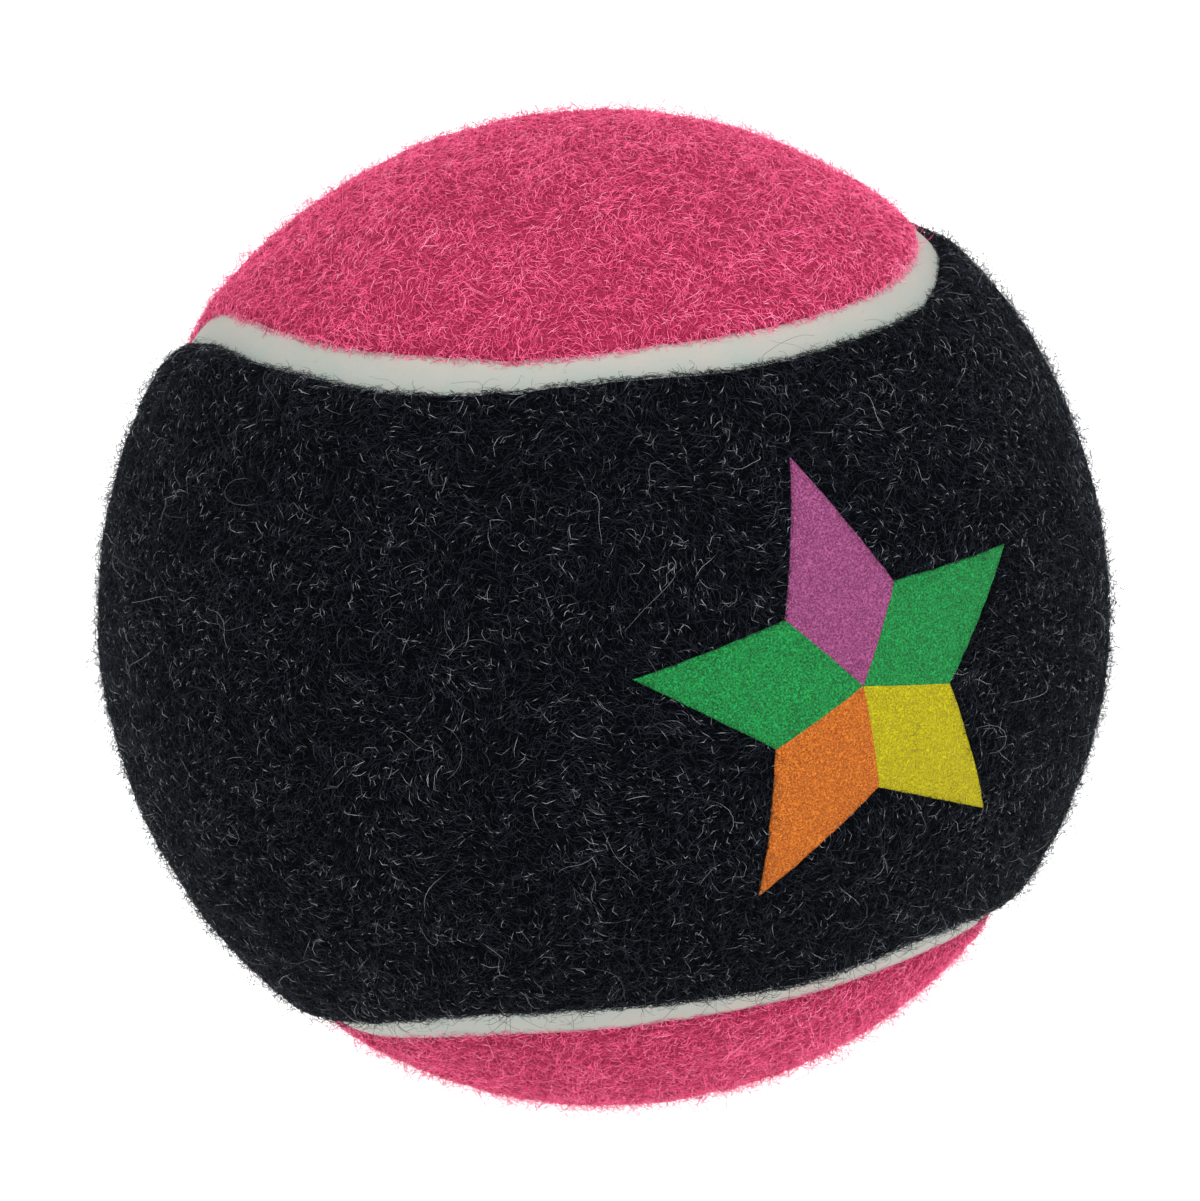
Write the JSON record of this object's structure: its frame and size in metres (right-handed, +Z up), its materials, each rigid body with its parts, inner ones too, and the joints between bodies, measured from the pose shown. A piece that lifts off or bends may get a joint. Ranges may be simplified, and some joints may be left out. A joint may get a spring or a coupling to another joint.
{
  "type": "tennis ball",
  "caption": "Felt-covered tennis ball in pink and navy: hollow rubber core, dumbbell felt panels, a raised-felt pillow edge along a recessed pale rubber seam and a printed star.",
  "frame": {"origin": "centre of the ball", "axes": "+Z up through the middle of a pink lobe, -Y to the front through the middle of the navy panel's waist and its printed star; +Y is the axis that the seam repeats about, a quarter turn and a mirror at a time"},
  "size_m": [0.066, 0.0661, 0.066],
  "materials": {
    "core_rubber": "moulded natural rubber, warm dark grey, matte",
    "cement": "cured natural rubber cement, amber, thin and matte",
    "pink_felt": "napped wool and nylon felt, bright pink, woolly surface with loose curled fibres",
    "navy_felt": "napped wool and nylon felt, dark navy blue, woolly surface with loose curled fibres",
    "seam": "vulcanised seam rubber, pale grey white, matte, slightly ragged beside the felt",
    "ink_purple": "matte purple transfer ink soaked into felt",
    "ink_green": "matte green transfer ink soaked into felt",
    "ink_yellow": "matte yellow transfer ink soaked into felt",
    "ink_orange": "matte orange transfer ink soaked into felt"
  },
  "bodies": {
    "root": {"core_half_upper": "core_rubber", "core_half_lower": "core_rubber", "core_rim_cement": "cement", "navy_panel_cement": "cement", "pink_panel_cement": "cement", "navy_felt_panel": "navy_felt", "pink_felt_panel": "pink_felt", "seam_rubber": "seam", "star_ink_purple": "ink_purple", "star_ink_green": "ink_green", "star_ink_yellow": "ink_yellow", "star_ink_orange": "ink_orange"}
  },
  "joints": []
}
